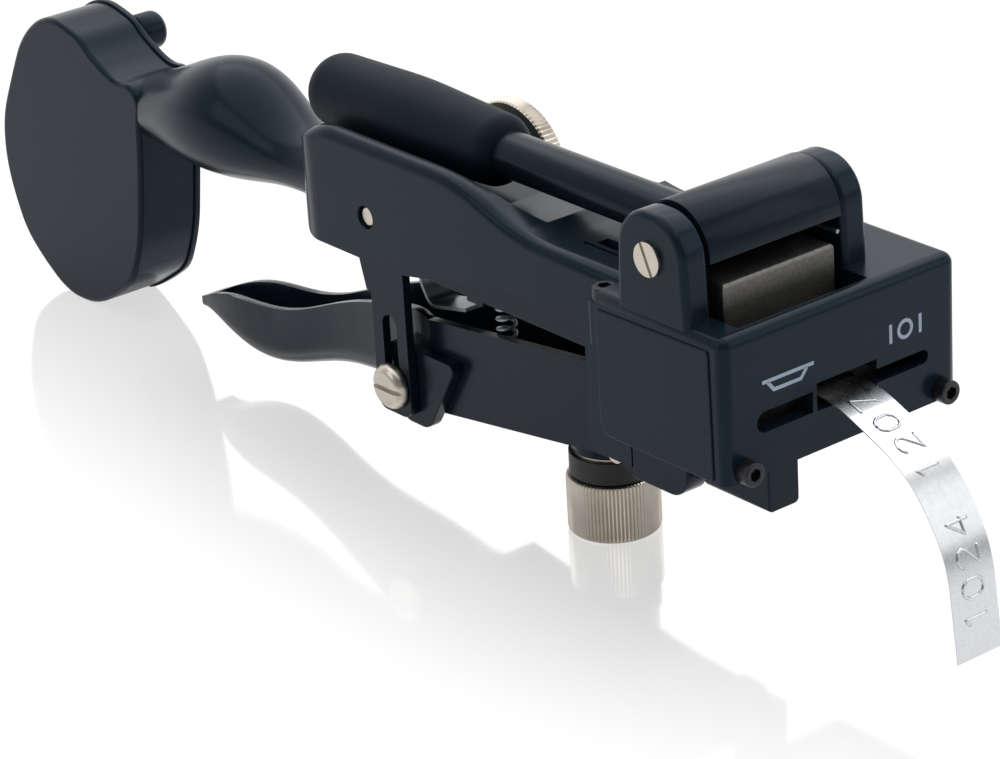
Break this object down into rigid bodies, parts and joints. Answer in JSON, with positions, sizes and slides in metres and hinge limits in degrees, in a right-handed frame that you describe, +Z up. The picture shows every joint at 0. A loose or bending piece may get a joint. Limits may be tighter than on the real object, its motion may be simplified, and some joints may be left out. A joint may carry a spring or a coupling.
{
  "type": "label_maker",
  "caption": "Hand-held label embosser for metal tape, with a character wheel, squeeze trigger, cutting lever and reel magazine behind the handle",
  "frame": {"origin": "under the middle of the bounding box, on the table it stands on", "axes": "+X forward along the tool to the tape mouth, +Y to the user's left, +Z up"},
  "size_m": [0.3258, 0.0628, 0.0955],
  "materials": {
    "enamel": "satin black-blue stove enamel on die-cast alloy",
    "lever_enamel": "satin black-blue enamel on steel pressings",
    "rubber": "matt black moulded sleeve",
    "nickel": "satin nickel plate on turned brass and steel",
    "tool_steel": "ground tool steel",
    "spring_steel": "bright drawn spring wire and strip",
    "oxide": "black oxide on steel screws",
    "black_plastic": "moulded black plastic",
    "tape": "bright rolled aluminium tape"
  },
  "bodies": {
    "frame": {"head_cover": "enamel", "base_plate": "tool_steel", "die_block": "tool_steel", "stripper_plate": "tool_steel", "ram_springs": "spring_steel", "hinge_pin": "nickel", "body_cover": "enamel", "frame_plate_near": "lever_enamel", "frame_plate_far": "lever_enamel", "head_foot": "enamel", "trigger_pin": "nickel", "stop_bracket": "lever_enamel", "return_spring": "spring_steel", "leaf_strip": "spring_steel", "wheel_carrier": "tool_steel", "anvil": "tool_steel", "idler_axle": "nickel", "handle": "enamel", "magazine_case": "enamel", "lid_post": "enamel", "reel_spindle": "black_plastic", "tape_strip": "tape", "front_cap_screws": "oxide", "rear_cap_screws": "oxide"},
    "lever": {"lever_hub": "lever_enamel", "torsion_spring": "spring_steel", "lever_rod": "lever_enamel", "grip": "rubber"},
    "ram": {"ram": "tool_steel", "cutter_blade": "tool_steel", "tab_punch": "tool_steel", "hole_punch": "tool_steel"},
    "trigger": {"trigger_lever": "lever_enamel", "knob_washer": "nickel", "knob_collar": "black_plastic", "stop_screw": "nickel", "stop_lug": "lever_enamel"},
    "knob": {"depth_knob": "nickel", "depth_screw": "tool_steel"},
    "wheel": {"wheel_upper_disc": "black_plastic", "wheel_lower_disc": "tool_steel", "wheel_axle": "nickel"},
    "feed": {"feed_knob": "nickel", "feed_axle": "nickel", "feed_roller": "rubber"},
    "idler": {"idler_roller": "tool_steel"},
    "reel": {"reel_core": "black_plastic", "wound_tape": "tape"},
    "lid": {"magazine_lid": "enamel"}
  },
  "joints": [
    {"name": "lever_swing", "type": "hinge", "parent": "frame", "child": "lever", "pos_m": [0.10851, -0.0068, 0.0857], "axis": [0, 1, 0], "range_deg": [0, 70]},
    {"name": "ram_slide", "type": "slide", "parent": "frame", "child": "ram", "axis": [0, 0, -1], "range_m": [0, 0.0042], "deforming": ["ram_springs"]},
    {"name": "trigger_squeeze", "type": "hinge", "parent": "frame", "child": "trigger", "pos_m": [0.08541, -0.00255, 0.035], "axis": [0, 1, 0], "range_deg": [0, 7.5], "stiffness_Nm_per_rad": 4, "springref_deg": -8.59, "deforming": ["return_spring"]},
    {"name": "knob_turn", "type": "hinge", "parent": "trigger", "child": "knob", "pos_m": [0.05541, 0.0022, 0.007], "axis": [0, 0, 1], "continuous": true},
    {"name": "wheel_turn", "type": "hinge", "parent": "frame", "child": "wheel", "pos_m": [0.04141, 0.01085, 0.054], "axis": [0, 0, 1], "continuous": true},
    {"name": "feed_turn", "type": "hinge", "parent": "frame", "child": "feed", "pos_m": [0.00841, 0.00045, 0.0646], "axis": [0, 1, 0], "continuous": true},
    {"name": "idler_turn", "type": "hinge", "parent": "frame", "child": "idler", "pos_m": [0.00841, 0.00045, 0.0571], "axis": [0, 1, 0], "continuous": true},
    {"name": "reel_turn", "type": "hinge", "parent": "frame", "child": "reel", "pos_m": [-0.13359, 0.00045, 0.034], "axis": [0, 1, 0], "continuous": true},
    {"name": "lid_swing", "type": "hinge", "parent": "frame", "child": "lid", "pos_m": [-0.12459, 0.00935, 0.0656], "axis": [0, 1, 0], "range_deg": [0, 110]}
  ],
  "couplings": [
    {"joint": "ram_slide", "follows": "lever_swing", "m_per_rad": 0.0034377},
    {"joint": "idler_turn", "follows": "feed_turn", "ratio": -1.4},
    {"joint": "reel_turn", "follows": "feed_turn", "ratio": -0.18261}
  ]
}
